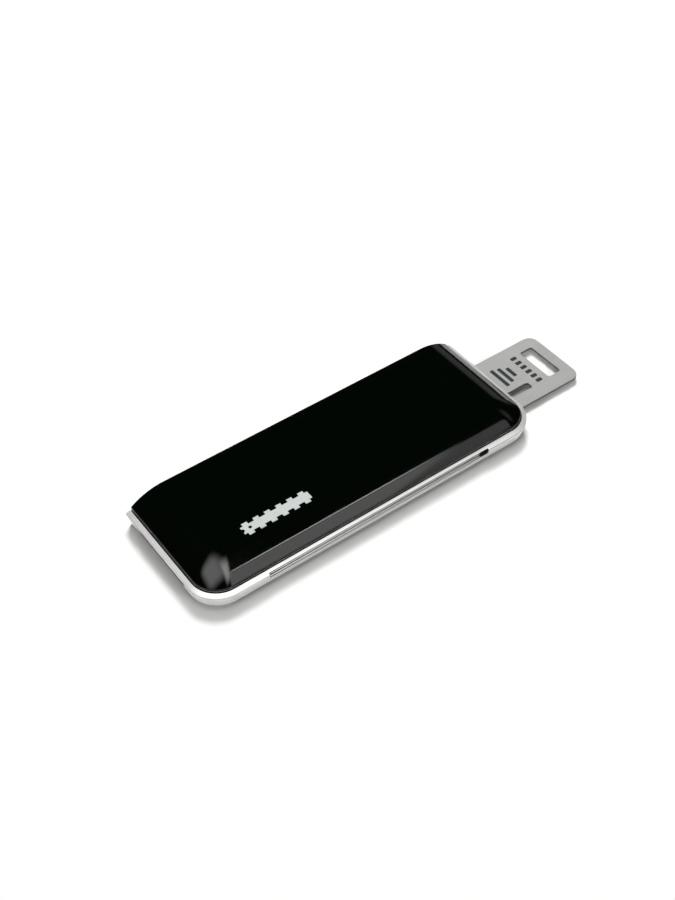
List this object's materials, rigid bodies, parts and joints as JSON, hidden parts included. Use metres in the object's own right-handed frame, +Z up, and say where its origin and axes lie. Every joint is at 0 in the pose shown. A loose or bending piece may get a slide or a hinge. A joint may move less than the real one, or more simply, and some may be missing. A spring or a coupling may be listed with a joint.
{
  "type": "usb microcontroller programmer",
  "caption": "Slim pocket USB programmer: gloss cover on a satin metal frame, with a steel pull tab that pushes a flat USB plug out of the far end and a ribbed sliding selector bar.",
  "frame": {"origin": "middle of the case's underside, on the surface it rests on", "axes": "+X along the case from the plug mouth to the pull tab, +Y from the side bar to the flat side, +Z up through the gloss cover"},
  "size_m": [0.0848, 0.025, 0.0059],
  "materials": {
    "gloss_cover": "piano-black gloss, moulded",
    "mark_print": "silver print, satin",
    "frame_metal": "bead-blasted and clear anodised, satin",
    "base_plastic": "fine spark-eroded texture",
    "screw_steel": "zinc plated, turned",
    "pin_steel": "ground",
    "circuit_board": "green solder mask, satin",
    "chip_body": "moulded epoxy, matt",
    "tin_leads": "tin plated",
    "crystal_can": "nickel lid, satin",
    "capacitor_body": "fired ceramic, satin",
    "resistor_body": "glazed ceramic",
    "tantalum_body": "moulded, satin",
    "led_body": "clear epoxy over phosphor",
    "switch_metal": "stamped shell",
    "socket_plastic": "glass-filled, matt",
    "contact_gold": "gold plated, bright",
    "polyimide": "amber film",
    "spring_steel": "rolled strip",
    "slide_steel": "stainless sheet, satin brushed along its length",
    "tab_ink": "etched and filled, dark",
    "holder_plastic": "moulded, matt",
    "tongue_plastic": "moulded, satin",
    "bar_metal": "extruded and clear anodised, satin",
    "knob_plastic": "moulded, matt"
  },
  "bodies": {
    "case": {"top_cover": "gloss_cover", "cover_mark": "mark_print", "frame_ring": "frame_metal", "bottom_plate": "base_plastic", "case_screws": "screw_steel", "stop_pin": "pin_steel", "main_pcb": "circuit_board", "microcontroller": "chip_body", "level_shifter": "chip_body", "program_memory": "chip_body", "voltage_regulator": "chip_body", "surge_protector": "chip_body", "crystal": "crystal_can", "chip_leads": "tin_leads", "chip_capacitors": "capacitor_body", "chip_resistors": "resistor_body", "reservoir_capacitor": "tantalum_body", "status_leds": "led_body", "selector_switch": "switch_metal", "target_socket": "socket_plastic", "target_contacts": "contact_gold", "contact_strips": "contact_gold", "insulator_sheet": "polyimide", "drag_spring": "spring_steel"},
    "slide": {"slide_plate": "slide_steel", "tab_print": "tab_ink", "plug_holder": "holder_plastic", "plug_tongue": "tongue_plastic", "plug_contacts": "contact_gold", "wiper_contacts": "contact_gold", "slide_rivets": "pin_steel"},
    "selector": {"side_bar": "bar_metal", "bar_clip": "spring_steel", "clip_rivets": "pin_steel", "switch_knob": "knob_plastic"}
  },
  "joints": [
    {"name": "plug_slide", "type": "slide", "parent": "case", "child": "slide", "axis": [-1, 0, 0], "range_m": [0, 0.0125]},
    {"name": "selector_slide", "type": "slide", "parent": "case", "child": "selector", "axis": [1, 0, 0], "range_m": [0, 0.0016]}
  ]
}
